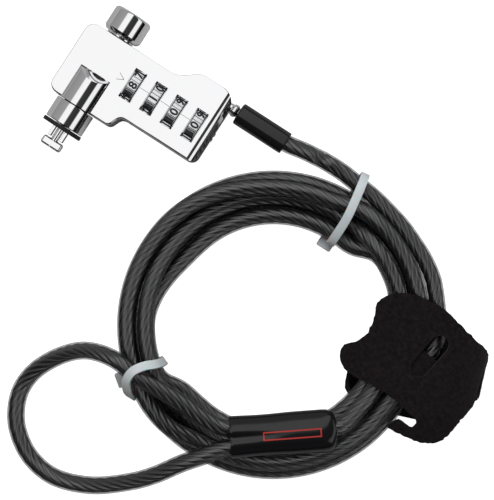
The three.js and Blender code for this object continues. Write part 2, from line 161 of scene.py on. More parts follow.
def roughen(material, scale, low, high, bump=0.0):
    """Uneven roughness, and a fine bump where asked, from noise in object space."""
    coordinate = add_node(material, "ShaderNodeTexCoord")
    texture = add_node(material, "ShaderNodeTexNoise", Scale=scale, Detail=4.0)
    spread = add_node(material, "ShaderNodeMapRange", To_Min=low, To_Max=high)
    connect(
        material,
        (coordinate, "Object", texture, "Vector"),
        (texture, "Fac", spread, "Value"),
        (spread, "Result", principled(material), "Roughness"),
    )
    if bump:
        relief = add_node(material, "ShaderNodeBump", Strength=bump, Distance=0.0001)
        connect(
            material,
            (texture, "Fac", relief, "Height"),
            (relief, "Normal", principled(material), "Normal"),
        )
    return material


def mottle(material, scale, dark, light):
    """Two tones of colour in soft patches."""
    coordinate = add_node(material, "ShaderNodeTexCoord")
    texture = add_node(material, "ShaderNodeTexNoise", Scale=scale, Detail=6.0, Roughness=0.7)
    spread = add_node(material, "ShaderNodeMapRange", From_Min=0.4, From_Max=0.7)
    mix = add_node(material, "ShaderNodeMixRGB", Color1=(*dark, 1), Color2=(*light, 1))
    connect(
        material,
        (coordinate, "Object", texture, "Vector"),
        (texture, "Fac", spread, "Value"),
        (spread, "Result", mix, "Fac"),
        (mix, "Color", principled(material), "Base Color"),
    )
    return material


chrome = roughen(shader("chrome", (0.93, 0.93, 0.94), 0.04, 1.0), 900, 0.02, 0.06)
steel = roughen(shader("steel", (0.55, 0.56, 0.57), 0.3, 1.0), 1500, 0.2, 0.38)
brass = roughen(shader("brass", (0.3, 0.25, 0.17), 0.4, 1.0), 1500, 0.32, 0.5)
dial_metal = roughen(shader("dial_metal", (0.86, 0.87, 0.88), 0.2, 1.0), 1500, 0.14, 0.26)
# Near-black for the digits, which are print, and for the bars of painted groove shade beside the
# dial ribs.
digit_print_and_groove_shade = shader("dial_print_and_groove_shade", (0.012, 0.012, 0.014), 0.4)
engraving = shader("engraving", (0.12, 0.12, 0.13), 0.5)
pocket = shader("pocket", (0.01, 0.01, 0.012), 0.5)
rubber = roughen(shader("washer_rubber", (0.012, 0.012, 0.013), 0.6), 3000, 0.5, 0.75, 0.3)
plastic = roughen(shader("black_plastic", (0.008, 0.008, 0.009), 0.12), 800, 0.08, 0.18)
red = shader("red_stripe", (0.42, 0.03, 0.022), 0.35)
wire = roughen(shader("cable_wire", (0.52, 0.52, 0.53), 0.3, 1.0), 2500, 0.24, 0.38, 0.2)
jacket = shader(
    "cable_jacket", (0.006, 0.006, 0.007), 0.07, Alpha=0.52, Specular_IOR_Level=0.9, IOR=1.5
)
nylon = roughen(
    shader("nylon", (0.62, 0.67, 0.69), 0.4, Subsurface_Weight=0.35, Subsurface_Scale=0.002),
    1200, 0.32, 0.5,
)
felt = mottle(roughen(
    shader("felt", (0.0055, 0.0048, 0.006), 0.95, Sheen_Weight=0.05, Sheen_Roughness=0.5,
           Specular_IOR_Level=0.25),
    2600, 0.85, 1.0, 1.0,
), 900, (0.0045, 0.0035, 0.0042), (0.017, 0.012, 0.013))


# ---- mesh helpers ----
def mesh_piece(name, points, faces, material, smooth=True):
    mesh = bpy.data.meshes.new(name)
    mesh.from_pydata((np.asarray(points, float) + SHIFT) * MM, [], faces)
    mesh.polygons.foreach_set("use_smooth", [smooth] * len(mesh.polygons))
    mesh.materials.append(material)
    mesh.update()
    return add_object(name, mesh)


def grid_faces(rings, sides, closed=True):
    """Quads between rings of points, and an end cap on the first and the last ring."""
    i, j = np.meshgrid(np.arange(rings - 1), np.arange(sides), indexing="ij")
    k = (j + 1) % sides
    quads = np.stack([i * sides + j, i * sides + k, (i + 1) * sides + k, (i + 1) * sides + j], -1)
    faces = quads.reshape(-1, 4).tolist()
    if closed:
        faces.append(list(range(sides))[::-1])
        faces.append([(rings - 1) * sides + side for side in range(sides)])
    return faces


def ring_faces(rings, sides):
    """Quads between rings of points, the last of which joins the first."""
    last = (rings - 1) * sides
    joint = [(last + i, last + (i + 1) % sides, (i + 1) % sides, i) for i in range(sides)]
    return grid_faces(rings, sides, closed=False) + joint


def lengths_along(points):
    """Distance along a line of points, at each of them."""
    return np.concatenate([[0], np.cumsum(np.linalg.norm(np.diff(points, axis=0), axis=1))])


def smooth_route(points, step):
    """Points a step apart on a centripetal spline through the given points."""
    points = np.array(points, float)
    gaps = np.sqrt(np.linalg.norm(np.diff(points, axis=0), axis=1))
    slopes = np.diff(points, axis=0) / gaps[:, None]
    tangents = np.empty_like(points)
    tangents[0], tangents[-1] = slopes[0], slopes[-1]
    before, after = gaps[:-1, None], gaps[1:, None]
    tangents[1:-1] = (slopes[:-1] * after + slopes[1:] * before) / (before + after)
    dense = []
    for k, gap in enumerate(gaps):
        t = np.linspace(0, 1, 12, endpoint=False)[:, None]
        dense.append(
            (2 * t**3 - 3 * t**2 + 1) * points[k]
            + (t**3 - 2 * t**2 + t) * gap * tangents[k]
            + (3 * t**2 - 2 * t**3) * points[k + 1]
            + (t**3 - t**2) * gap * tangents[k + 1]
        )
    dense = np.vstack(dense + [points[-1:]])
    along = lengths_along(dense)
    places = np.linspace(0, along[-1], max(3, round(along[-1] / step)))
    return np.stack([np.interp(places, along, dense[:, axis]) for axis in range(3)], 1), along[-1]


def closed_route(points, step, margin):
    """A closed smooth line through the points, which are repeated so that it closes smoothly."""
    route, _ = smooth_route(points[-margin:] + points + points[:margin], step)
    half = len(route) // 2
    away = np.linalg.norm(route - points[0], axis=1)
    return route[np.argmin(away[:half]) : half + np.argmin(away[half:])]


def unit_rows(rows):
    return rows / np.linalg.norm(rows, axis=1)[:, None]


def frames_along(route):
    """Two unit directions across the route at each point, carried along it without twist."""
    tangents = unit_rows(np.gradient(route, axis=0))
    across = np.empty_like(route)
    current = np.cross(tangents[0], [0, 0, 1.0])
    for i, tangent in enumerate(tangents):
        current = current - tangent * current.dot(tangent)
        current /= np.linalg.norm(current)
        across[i] = current
    return across, np.cross(tangents, across)


def sweep(name, route, radii, angles, material):
    """A closed tube: radii and angles hold one row per route point, or one row for all."""
    across, over = frames_along(route)
    radii = np.broadcast_to(radii, (len(route), radii.shape[-1]))
    angles = np.broadcast_to(angles, radii.shape)
    points = (
        route[:, None, :]
        + across[:, None, :] * (radii * np.cos(angles))[..., None]
        + over[:, None, :] * (radii * np.sin(angles))[..., None]
    )
    return mesh_piece(name, points.reshape(-1, 3), grid_faces(*radii.shape), material)


def turned(name, axis, profile, first, second, material, sides=96):
    """A closed ring or solid turned about a line along X or Y, from [radius, position] pairs."""
    profile = np.array(profile, float)
    angles = np.linspace(0, 2 * math.pi, sides, endpoint=False)
    wave = np.stack([np.cos(angles), np.sin(angles)], 1)
    points = np.zeros((sides, len(profile), 3))
    along, u, v = (0, 1, 2) if axis == "x" else (1, 0, 2)
    points[..., along] = profile[None, :, 1]
    points[..., u] = first + wave[:, None, 0] * profile[None, :, 0]
    points[..., v] = second + wave[:, None, 1] * profile[None, :, 0]
    rings = len(profile)
    faces = []
    for i in range(sides):
        for j in range(rings):
            n, m = (i + 1) % sides, (j + 1) % rings
            faces.append((i * rings + j, n * rings + j, n * rings + m, i * rings + m))
    piece = mesh_piece(name, points.reshape(-1, 3), faces, material)
    clean(piece)
    return piece


def clean(piece, weld=True):
    """Welds doubled points, drops empty faces, turns the faces outward and keeps hard edges."""
    work = bmesh.new()
    work.from_mesh(piece.data)
    if weld:
        bmesh.ops.remove_doubles(work, verts=work.verts, dist=1e-7)
        bmesh.ops.dissolve_degenerate(work, edges=work.edges, dist=1e-8)
        bmesh.ops.recalc_face_normals(work, faces=work.faces)
    for edge in work.edges:
        edge.smooth = len(edge.link_faces) != 2 or edge.calc_face_angle(0) < math.radians(28)
    work.to_mesh(piece.data)
    work.free()


def rounded(profile, radius, steps=4):
    """The profile with each corner rounded, so that edges catch a highlight."""
    profile = [np.array(p, float) for p in profile]
    made = []
    for i, corner in enumerate(profile):
        before, after = profile[i - 1] - corner, profile[(i + 1) % len(profile)] - corner
        reach = min(radius, np.linalg.norm(before) * 0.45, np.linalg.norm(after) * 0.45)
        start = corner + before / np.linalg.norm(before) * reach
        end = corner + after / np.linalg.norm(after) * reach
        if corner[0] < 1e-6:
            made.append(corner)
            continue
        for step in range(steps + 1):
            t = step / steps
            made.append((1 - t) ** 2 * start + 2 * t * (1 - t) * corner + t * t * end)
    return made


def prism(name, outline, low, high, material):
    """An upright block over an outline in X and Y."""
    count = len(outline)
    points = [(x, y, z) for z in (low, high) for x, y in outline]
    return mesh_piece(name, points, grid_faces(2, count), material, smooth=False)


def box_piece(name, low, high, material):
    outline = [(low[0], low[1]), (high[0], low[1]), (high[0], high[1]), (low[0], high[1])]
    return prism(name, outline, low[2], high[2], material)


def bevel(piece, width, segments=4, angle=30, limit="ANGLE"):
    made = piece.modifiers.new("bevel", "BEVEL")
    made.width = width * MM
    made.segments = segments
    made.limit_method = limit
    made.angle_limit = math.radians(angle)
    made.harden_normals = False
    settle(piece)


def bevel_by_side(piece, width, segments, share):
    """Rounds the edges of an upright prism, wider where its side faces the given way."""
    mesh = piece.data
    weights = mesh.attributes.new("bevel_weight_edge", "FLOAT", "EDGE")
    sides = {}
    for face in mesh.polygons:
        if abs(face.normal.z) < 0.5:
            for key in face.edge_keys:
                sides.setdefault(key, []).append(face.normal)
    for edge in mesh.edges:
        a, b = (mesh.vertices[i].co for i in edge.vertices)
        found = sides.get(edge.key, [])
        if abs(a.z - b.z) < 0.2 * (a - b).length and found:
            weights.data[edge.index].value = share(found[0])
    bevel(piece, width, segments, limit="WEIGHT")


def combine(piece, other, operation):
    """A boolean, worked in millimetres because the solver is coarse at this size in metres."""
    enlarge = Matrix.Scale(1 / MM, 4)
    piece.data.transform(enlarge)
    other.data.transform(enlarge)
    made = piece.modifiers.new("boolean", "BOOLEAN")
    made.object = other
    made.operation = operation
    made.solver = "EXACT"
    settle(piece)
    piece.data.transform(Matrix.Scale(MM, 4))
    bpy.data.objects.remove(other)


def evaluated_mesh(piece):
    graph = bpy.context.evaluated_depsgraph_get()
    return bpy.data.meshes.new_from_object(piece.evaluated_get(graph))


def settle(piece):
    """Makes the modifiers' result the piece's own mesh."""
    mesh = evaluated_mesh(piece)
    piece.modifiers.clear()
    piece.data = mesh


def finish_piece(piece, body, slot, *nodes):
    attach(piece, body)
    if nodes:
        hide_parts(*nodes)
    return piece


def joined(name, pieces):
    """Several meshes as one, each keeping its materials."""
    first = pieces[0]
    with bpy.context.temp_override(
        active_object=first, object=first, selected_objects=pieces, selected_editable_objects=pieces
    ):
        bpy.ops.object.join()
    first.name = name
    return first


# ---- the cable: lead, six turns and the loop at its far end ----
# Each strand's radius and height in the open and where the bundle is tall, and the part of the
# way from one to the other in which it moves. All angles are in degrees, from the lay of the coil.
WIDE = {"a": (41.0, 12.06), "b": (43.7, 7.38), "c": (38.3, 7.38),
        "d": (32.9, 7.38), "e": (41.0, 2.7), "f": (35.6, 2.7)}
TALL = {"a": (43.9, 13.5), "b": (43.9, 8.1), "c": (38.6, 13.5),
        "d": (38.6, 8.1), "e": (43.9, 2.7), "f": (38.6, 2.7)}
LATE = {"a": (0.0, 0.5), "b": (0.0, 1.0), "c": (0.2, 0.8),
        "d": (0.5, 1.0), "e": (0.0, 1.0), "f": (0.0, 1.0)}
TURN_ORDER = "abefdc"
TALL_STRETCHES = [(192, 55), (22, 52)]
NARROWING = (85, 185)
CROSS_FROM, CROSS_TO = 15, -35
COIL_STEP = 10
LEAD_ANGLES = [-35, 19, 31, 45, 58, 72, 84]
LEAD_RADII = [49.5, 49.4, 48.4, 48.2, 48.8, 51.2, 54]
EXIT_PLACE = np.array([35.3, 15.4])


def hump(degrees, middle, half_width):
    away = abs((degrees - middle + 540) % 360 - 180)
    return math.cos(math.pi / 2 * away / half_width) ** 2 if away < half_width else 0.0


def slot_place(name, degrees):
    """Radius and height of one strand of the bundle, wide in the open and tall under the ties."""
    tall = min(1.0, sum(hump(degrees, *stretch) for stretch in TALL_STRETCHES))
    if NARROWING[0] < degrees % 360 < NARROWING[1]:
        tall = max(tall, (degrees % 360 - NARROWING[0]) / (NARROWING[1] - NARROWING[0]))
    start, end = LATE[name]
    share = smoothstep((tall - start) / (end - start))
    wide_place, tall_place = np.array(WIDE[name]), np.array(TALL[name])
    radius, height = wide_place + (tall_place - wide_place) * share
    return np.array([radius, COIL_BASE + height])


def lead_place(degrees):
    return np.array([np.interp(degrees, LEAD_ANGLES, LEAD_RADII), COIL_BASE + 10.8])


def crossing(degrees, before, after):
    """The place of a strand that changes from one line to the next under the strap."""
    share = smoothstep((CROSS_FROM - degrees) / (CROSS_FROM - CROSS_TO))
    return before + (after - before) * share


def coil_route():
    """The turns, clockwise from above, each crossing to the next place under the strap."""
    points = []
    for degrees in range(73, CROSS_FROM, -7):
        points.append(around_coil(degrees, *lead_place(degrees)))
    for turn, name in enumerate(TURN_ORDER):
        for step in range(0, 360, COIL_STEP):
            degrees = CROSS_FROM - step
            place = slot_place(name, degrees)
            if degrees > CROSS_TO:
                before = slot_place(TURN_ORDER[turn - 1], degrees) if turn else lead_place(degrees)
                place = crossing(degrees, before, place)
            points.append(around_coil(degrees, *place))
    for degrees in range(CROSS_FROM, CROSS_TO, -COIL_STEP):
        place = crossing(degrees, slot_place(TURN_ORDER[-1], degrees), EXIT_PLACE)
        points.append(around_coil(degrees, *place))
    return points


SLEEVE_Z = 19
LEG_OFFSET = 3
sleeve_right = np.array(around_coil(-59, 35.7, SLEEVE_Z))
sleeve_left = np.array(around_coil(-111.5, 35.4, SLEEVE_Z))
sleeve_length = float(np.linalg.norm(sleeve_left - sleeve_right))
sleeve_way = (sleeve_left - sleeve_right) / sleeve_length
sleeve_side = np.array([-sleeve_way[1], sleeve_way[0], 0])


def along_sleeve(distance, sideways, up=0.0):
    point = sleeve_right + sleeve_way * distance + sleeve_side * sideways
    return [point[0], point[1], SLEEVE_Z + up]


LEAD = [
    (60.4, STUD_Y, STUD_Z), (65, STUD_Y, STUD_Z), (69.6, 10.7, 6.6), (75, 11.6, 7.9),
    (80, 12.1, 9.6),
]
LOOP = [
    around_coil(-35, 35.3, 15.4), around_coil(-43, 35.4, 16), along_sleeve(-1, -0.6),
    along_sleeve(8, -1.6), along_sleeve(16, -LEG_OFFSET),
    along_sleeve(sleeve_length - 2, -LEG_OFFSET),
    along_sleeve(sleeve_length + 2, -LEG_OFFSET), (91.5, -71.6, 19.6), (85, -71.2, 20.2),
    (74.1, -71.5, 20.9), (68.5, -71.6, 21), (62, -71.1, 20.7), (56.2, -72.2, 18.4),
    (51.3, -74.8, 14.8), (45.8, -81.3, 8.6), (42.3, -89.2, 4.4), (42, -95.9, 3),
    (44.1, -101.6, 2.8), (47.8, -106.4, 2.8), (55, -111, 2.9), (64.1, -112.3, 3.6),
    (75, -108.3, 6.2), (85, -99.9, 11.4), (90, -93.8, 15), (94.6, -86.5, 18), (98.3, -81.6, 19.1),
    along_sleeve(sleeve_length + 1, LEG_OFFSET), along_sleeve(sleeve_length - 4, LEG_OFFSET),
    along_sleeve(sleeve_length - 15, LEG_OFFSET),
]
STRANDS = 7
STRAND_PITCH = 25.0
STRAND_CORE, STRAND_LOBE = 1.62, 0.62


def kept_apart(route, rounds=45, reach=16, fixed=40, spread=13):
    """Stretches that come closer than the cable's diameter move apart, a little at a time.

    Points within reach along the cable don't push each other, and the fixed ones at its ends stay.
    """
    route = route.copy()
    order = np.arange(len(route))
    other = np.abs(order[:, None] - order[None]) > reach
    free = np.clip((np.minimum(order, order[::-1]) - fixed) / reach, 0, 1)[:, None]
    window = np.hanning(spread) / np.hanning(spread).sum()
    lowest = np.minimum(route[:, 2], COIL_BASE + CABLE_RADIUS)
    for _ in range(rounds):
        gaps = route[:, None] - route[None]
        distance = np.linalg.norm(gaps, axis=2) + 1e-9
        short = np.where(other, np.clip(2 * CABLE_RADIUS - distance, 0, None), 0)
        push = (gaps * (short / distance)[..., None]).sum(1)
        push = push / np.maximum(1, (short > 0).sum(1))[:, None]
        push = np.stack([np.convolve(push[:, k], window, "same") for k in range(3)], 1)
        route += push * free
        route[:, 2] = np.maximum(route[:, 2], lowest)
    return route


def make_cable():
    """The clear jacket, and the twisted strands that show through it."""
    points = LEAD + coil_route() + LOOP
    route = kept_apart(smooth_route(points, 1.3)[0])
    sides = np.linspace(0, 2 * math.pi, 24, endpoint=False)[None, :]
    outer = sweep("cable", route, np.full((1, 24), CABLE_RADIUS), sides, jacket)
    fine, length = smooth_route(route, 0.7)
    lobes = np.linspace(0, 2 * math.pi, STRANDS * 8, endpoint=False)[None, :]
    radii = STRAND_CORE + STRAND_LOBE * np.sqrt(np.abs(np.cos(lobes * STRANDS / 2)))
    twist = np.linspace(0, 2 * math.pi * length / STRAND_PITCH, len(fine))[:, None]
    strands = sweep("cable_strands", fine, radii, lobes + twist, wire)
    return outer, strands, route, length


cable, strands, cable_path, cable_length = make_cable()

# ---- head ----
def arc(x, y, radius, start, end, steps=14):
    """Points round an arc, in degrees."""
    angles = np.radians(np.linspace(start, end, steps))
    return [(x + radius * math.cos(angle), y + radius * math.sin(angle)) for angle in angles]


def bezier(a, b, c, d, steps=18):
    a, b, c, d = (np.array(point, float) for point in (a, b, c, d))
    return [
        tuple((1 - t) ** 3 * a + 3 * t * (1 - t) ** 2 * b + 3 * t * t * (1 - t) * c + t**3 * d)
        for t in np.linspace(0, 1, steps)
    ]


BLOCK_HIGH = 9.6
DIALS_LOW, DIALS_HIGH = -9.95, 14.3
REAR_TOP = 1.2
FIT = 0.3
END_SLOPE_X = 46.4
DIAL_RADIUS = 6.2
DIAL_BORE = 4.2
DIAL_AXIS_Z = 7.8
DIAL_WIDTH = 3.0
DIAL_PLACES = [21.3 + 7.3 * index for index in range(4)]
WINDOW_LENGTH, WINDOW_WIDTH = 9.4, 3.5
SPINDLE_X, SPINDLE_Z = 10.0, 9.0
BARREL_RADIUS = 6.25
BOSS_END = -3.0
RIVETS = [(2.4, 6.4), (18, -11), (38.8, 11)]
EDGE_BEVEL, EDGE_SEGMENTS, EDGE_LEAST = 1.6, 7, 0.4
SLOPE_DROPS = [(0, 0), (0.8, 0.14), (1.6, 0.53)]
SLOPE_FOOT_Z = 9.9
ABOVE = 14


def body_outline():
    outline = bezier((20.2, BLOCK_LOW), (23.4, BLOCK_LOW), (21.6, DIALS_LOW), (25.2, DIALS_LOW))
    outline += arc(BODY_LENGTH - 2.5, DIALS_LOW + 2.5, 2.5, -90, 0)
    outline += arc(BODY_LENGTH - 5, DIALS_HIGH - 5, 5, 0, 90)
    corner = (38.6, DIALS_HIGH), (34.6, DIALS_HIGH), (33.2, BLOCK_HIGH), (28.4, BLOCK_HIGH)
    outline += bezier(*corner)
    outline += arc(3, BLOCK_HIGH - 3, 3, 90, 180)
    return outline + arc(3, BLOCK_LOW + 3, 3, 180, 270)


def rod(axis, first, second, radius, start, end, material, sides=72):
    profile = [(radius, start), (radius, end), (0.0, end), (0.0, start)]
    return turned("rod", axis, profile, first, second, material, sides)


def window_cutter(x):
    """A window's opening, flared at the top to leave a small chamfer."""
    rings = []
    for grow, z in ((0, 8.8), (0, PLATE_TOP - 0.3), (0.32, PLATE_TOP + 0.02), (0.32, 15)):
        half_x, half_y = WINDOW_WIDTH / 2 + grow, WINDOW_LENGTH / 2 + grow
        rings += [(x + a * half_x, b * half_y, z) for a, b in CORNERS]
    return mesh_piece("window", rings, grid_faces(4, 4), pocket, smooth=False)


def prism_along(axis, outline, low, high, material):
    """A block over an outline of [across, height] points, run along X or Y."""
    points = [
        (along, across, height) if axis == "x" else (across, along, height)
        for along in (low, high) for across, height in outline
    ]
    piece = mesh_piece("prism", points, grid_faces(2, len(outline)), material, smooth=False)
    clean(piece)
    return piece


def channel(middle, z, radius, start, end):
    """A round-topped channel along X, open below."""
    outline = [(middle + radius, -1)] + arc(middle, z, radius, 0, 180, 48) + [(middle - radius, -1)]
    return prism_along("x", outline, start, end, pocket)


def cover_cuts():
    """The same hollows as the CAD cover has, so that the works inside stay clear of it."""
    yield box_piece("cut", (4.6, -6.2, -1), (17.6, 5.4, PLATE_TOP - 1.3), pocket)
    yield rod("y", SPINDLE_X, SPINDLE_Z, 4.3, -15, -6, pocket)
    yield rod("y", SPINDLE_X, SPINDLE_Z, 3.4, 5, 11, pocket)
    yield rod("x", 0, DIAL_AXIS_Z, 1.6, 17, 20, pocket)
    yield channel(0, DIAL_AXIS_Z, DIAL_BORE, 19, END_SLOPE_X)
    yield rod("x", 0, DIAL_AXIS_Z, 2, 45, 51, pocket)
    yield channel(STUD_Y, STUD_Z, 3.3, 44, 46.9)
    yield rod("x", STUD_Y, STUD_Z, 1.8, 46, 51, pocket)
    for x in DIAL_PLACES:
        half = WINDOW_WIDTH / 2 - 0.03
        yield channel(0, DIAL_AXIS_Z, DIAL_RADIUS + FIT, x - half, x + half)
        yield window_cutter(x)
    yield box_piece("cut", (18.7, DIAL_RADIUS + 0.2, -1.3), (46.1, 8.4, 10.4), pocket)
    for x, y in RIVETS:
        yield prism("cut", arc(x, y, 1 + FIT, 0, 345, 24), -1, 7, pocket)


def sharpen(piece):
    """Hard edges stay hard, and flat faces beside a rounded edge reflect as flat."""
    for face in piece.data.polygons:
        face.use_smooth = True
    clean(piece, weld=False)
    made = piece.modifiers.new("normals", "WEIGHTED_NORMAL")
    made.keep_sharp = True
    made.weight = 80
    settle(piece)
    return piece


def edge_share(side):
    """Share of the full bevel at a side: the whole of it towards the T-bar and the cable."""
    return EDGE_LEAST + (1 - EDGE_LEAST) * smoothstep((0.6 * side.x - side.y) * 1.2)


def make_front_cover():
    cover = prism("cover", body_outline(), REAR_TOP + FIT, PLATE_TOP, chrome)
    clean(cover)
    bevel_by_side(cover, EDGE_BEVEL, EDGE_SEGMENTS, edge_share)
    past_end = BODY_LENGTH + 0.5
    slope = [(END_SLOPE_X + x, PLATE_TOP - drop) for x, drop in SLOPE_DROPS]
    slope += [(past_end, SLOPE_FOOT_Z), (past_end, ABOVE), (END_SLOPE_X, ABOVE)]
    combine(cover, prism_along("y", slope, -20, 20, chrome), "DIFFERENCE")
    bevel(cover, 0.12, 2, 25)
    boss = rod("y", SPINDLE_X, SPINDLE_Z, BARREL_RADIUS, BLOCK_LOW, BOSS_END, chrome, 128)
    ramp = [(BOSS_END, PLATE_TOP), (BOSS_END - 6, PLATE_TOP + 6), (BOSS_END + 6, PLATE_TOP + 6)]
    combine(boss, prism_along("x", ramp, -2, 22, chrome), "DIFFERENCE")
    combine(cover, boss, "UNION")
    for cutter in cover_cuts():
        combine(cover, cutter, "DIFFERENCE")
    sharpen(cover)
    return finish_piece(cover, "housing", "chrome", "front_cover")


def make_rear_cover():
    rear = prism("rear", body_outline(), 0, REAR_TOP, chrome)
    clean(rear)
    bevel(rear, 0.35, 3)
    for x, y in RIVETS:
        combine(rear, prism("cut", arc(x, y, 1 + FIT, 0, 345, 24), -1, 5, chrome), "DIFFERENCE")
    sharpen(rear)
    finish_piece(rear, "housing", "chrome", "rear_cover")
    for index, (x, y) in enumerate(RIVETS):
        rivet = prism("rivet", arc(x, y, 1, 0, 350, 36), 0.1, 6.6, steel)
        bevel(rivet, 0.15, 3)
        finish_piece(sharpen(rivet), "housing", "steel", f"cover_rivet_{index + 1}")


def lathe_piece(name, axis, profile, first, second, material, slot, body, edge=0.25):
    """A turned piece with rounded edges that stands for the CAD node of its name."""
    piece = turned(name + "_look", axis, rounded(profile, edge), first, second, material)
    return finish_piece(sharpen(piece), body, slot, name)


def make_lock_end():
    place = (SPINDLE_X, SPINDLE_Z)
    lathe_piece("barrel", "y", [
        (1.8, -21.3), (6.25, -21.3), (6.25, -14.55), (4, -14.55), (4, -6.5), (1.8, -6.5),
    ], *place, chrome, "chrome", "housing", 0.35)
    lathe_piece("rubber_washer", "y", [
        (3.5, -22.8), (6.45, -22.8), (6.45, -21.5), (3.5, -21.5),
    ], *place, rubber, "washer_rubber", "housing", 0.3)
    for side, index in ((-1, 1), (1, 2)):
        x = SPINDLE_X + side * 2.05
        low, high = (x - 0.55, -26, SPINDLE_Z - 1.3), (x + 0.55, -21.35, SPINDLE_Z + 1.3)
        bar = box_piece(f"guard_{index}", low, high, chrome)
        bevel(bar, 0.2, 3)
        finish_piece(sharpen(bar), "housing", "chrome", f"guard_bar_{index}")


def cam_outline():
    """The cam's edge grows by the toothed shaft's travel over a quarter turn."""
    base, travel = 2.0, 1.8
    edge = [
        ((base + travel * share) * math.cos(-math.pi / 2 * share),
         (base + travel * share) * math.sin(-math.pi / 2 * share))
        for share in np.linspace(0, 1, 24)
    ]
    back = arc(0, 0, base, 180, 6, 30)
    return [(SPINDLE_X + x, SPINDLE_Z + z) for x, z in edge + back]


def make_spindle():
    """Shaft, T head and cam."""
    shaft = turned("spindle_look", "y", rounded([
        (0, -28.9), (1.15, -28.9), (1.15, -21.5), (1.5, -21.3), (1.5, 16.5), (0, 16.5),
    ], 0.1), SPINDLE_X, SPINDLE_Z, chrome)
    sharpen(shaft)
    low, high = (SPINDLE_X - 3.4, -29.1, SPINDLE_Z - 1.2), (SPINDLE_X + 3.4, -26.4, SPINDLE_Z + 1.2)
    bar = box_piece("t_head", low, high, chrome)
    bevel(bar, 0.75, 5)
    sharpen(bar)
    cam = prism_along("y", cam_outline(), -1.5, 1.5, steel)
    sharpen(cam)
    spindle = joined("spindle_look", [shaft, bar, cam])
    finish_piece(spindle, "turning_spindle", "steel", "spindle")
    lathe_piece("knob", "y", [
        (0, 18.1), (5.45, 18.1), (6.1, 17.45), (6.1, 11.35),
        (5.3, 10.4), (1.8, 10.4), (1.8, 16.8), (0, 16.8),
    ], SPINDLE_X, SPINDLE_Z, chrome, "chrome", "turning_spindle", 0.3)


# ---- dials ----
DIGIT_HEIGHT = 2.75
DIGIT_SLICE = 0.08
DIGIT_BOLDNESS = 0.034
DIGIT_WIDENING = 1.05
DIGITS_AT_FRONT = (8, 1, 0, 0)


def digit_mesh(digit):
    """A digit from the built-in font as flat faces, [across, up], one unit high.

    It is cut into narrow slices, so that it bends round a dial.
    """
    curve = bpy.data.curves.new("digit", "FONT")
    curve.body = str(digit)
    curve.align_x = "CENTER"
    curve.align_y = "CENTER"
    curve.resolution_u = 3
    curve.offset = DIGIT_BOLDNESS
    holder = add_object("digit", curve)
    mesh = evaluated_mesh(holder)
    work = bmesh.new()
    work.from_mesh(mesh)
    for cut in range(-8, 9):
        parts = work.verts[:] + work.edges[:] + work.faces[:]
        place = (cut * DIGIT_SLICE, 0, 0)
        bmesh.ops.bisect_plane(work, geom=parts, plane_co=place, plane_no=(1, 0, 0))
    work.to_mesh(mesh)
    points = np.array([vertex.co[:2] for vertex in mesh.vertices])
    faces = [tuple(face.vertices) for face in mesh.polygons]
    bpy.data.objects.remove(holder)
    low, high = points.min(0), points.max(0)
    return (points - (low + high) / 2) / (high[1] - low[1]), faces


def wrapped(x, angle, around, along, radius):
    """A point on a dial: angle from straight up towards the knob, plus a distance around it."""
    turn = angle + around / radius
    return (x + along, radius * math.sin(turn), DIAL_AXIS_Z + radius * math.cos(turn))


def raised_patch(x, angle, outline, faces, radius, lift):
    """Flat shapes [around, along] wrapped on a dial, with the same faces at two radii."""
    count = len(outline)
    points = [wrapped(x, angle, a, b, r) for r in (radius, radius + lift) for a, b in outline]
    doubled = [face[::-1] for face in faces] + [tuple(i + count for i in face) for face in faces]
    return points, doubled


def cross_bar(x, angle, half_width, half_length, low, high):
    """A narrow bar across a dial's rim, between two radii."""
    corners = [(a * half_width, b * half_length) for a, b in CORNERS]
    points = [wrapped(x, angle, a, b, r) for r in (low, high) for a, b in corners]
    return points, grid_faces(2, 4)


def add_shape(points, faces, more_points, more_faces):
    start = len(points)
    points += more_points
    faces += [tuple(i + start for i in face) for face in more_faces]


def make_dial(index, x, digits):
    """A dial with its digits, and between them two ribs with a black bar of painted groove shade at
    each side.
    """
    edge, half = DIAL_RADIUS - 0.1, DIAL_WIDTH / 2
    dial = turned(f"dial_{index + 1}_look", "x", rounded([
        (DIAL_BORE, x - half), (edge, x - half), (edge, x + half), (DIAL_BORE, x + half),
    ], 0.22), 0, DIAL_AXIS_Z, dial_metal)
    sharpen(dial)
    print_and_shade_marks, ribs = ([], []), ([], [])
    for step in range(10):
        angle = math.radians(36 * step)
        between = angle + math.radians(18)
        shape, faces = digits[(DIGITS_AT_FRONT[index] - step) % 10]
        outline = [(a * DIGIT_HEIGHT * DIGIT_WIDENING, -b * DIGIT_HEIGHT) for a, b in shape]
        add_shape(*print_and_shade_marks, *raised_patch(x, angle, outline, faces, DIAL_RADIUS - 0.12, 0.05))
        for side in (-1, 1):
            rib_angle = between + side * 0.33 / DIAL_RADIUS
            # The bar at each side of a rib is painted shade: a black strip on the dial's surface
            # where a groove would be dark, not a sunk groove.
            groove_shade_angle = between + side * 0.62 / DIAL_RADIUS
            low = DIAL_RADIUS - 0.3
            add_shape(*ribs, *cross_bar(x, rib_angle, 0.1, 1.35, low, DIAL_RADIUS))
            add_shape(*print_and_shade_marks, *cross_bar(x, groove_shade_angle, 0.09, 1.45, low, DIAL_RADIUS - 0.07))
    digits_and_groove_shade = mesh_piece("digits", *print_and_shade_marks, digit_print_and_groove_shade, smooth=False)
    ridges = mesh_piece("ridges", *ribs, dial_metal, smooth=False)
    whole = joined(f"dial_{index + 1}_look", [dial, digits_and_groove_shade, ridges])
    finish_piece(whole, f"dial_wheel_{index + 1}", "dial_metal", f"dial_{index + 1}")


def strip(name, start, end, width):
    """A thin engraved line on the top plate."""
    start, end = np.array(start, float), np.array(end, float)
    way = (end - start) / np.linalg.norm(end - start)
    side = np.array([-way[1], way[0]]) * width / 2
    outline = [start - side, end - side, end + side, start + side]
    piece = prism(name, outline, PLATE_TOP - 0.05, PLATE_TOP + 0.015, engraving)
    finish_piece(piece, "housing", "chrome")


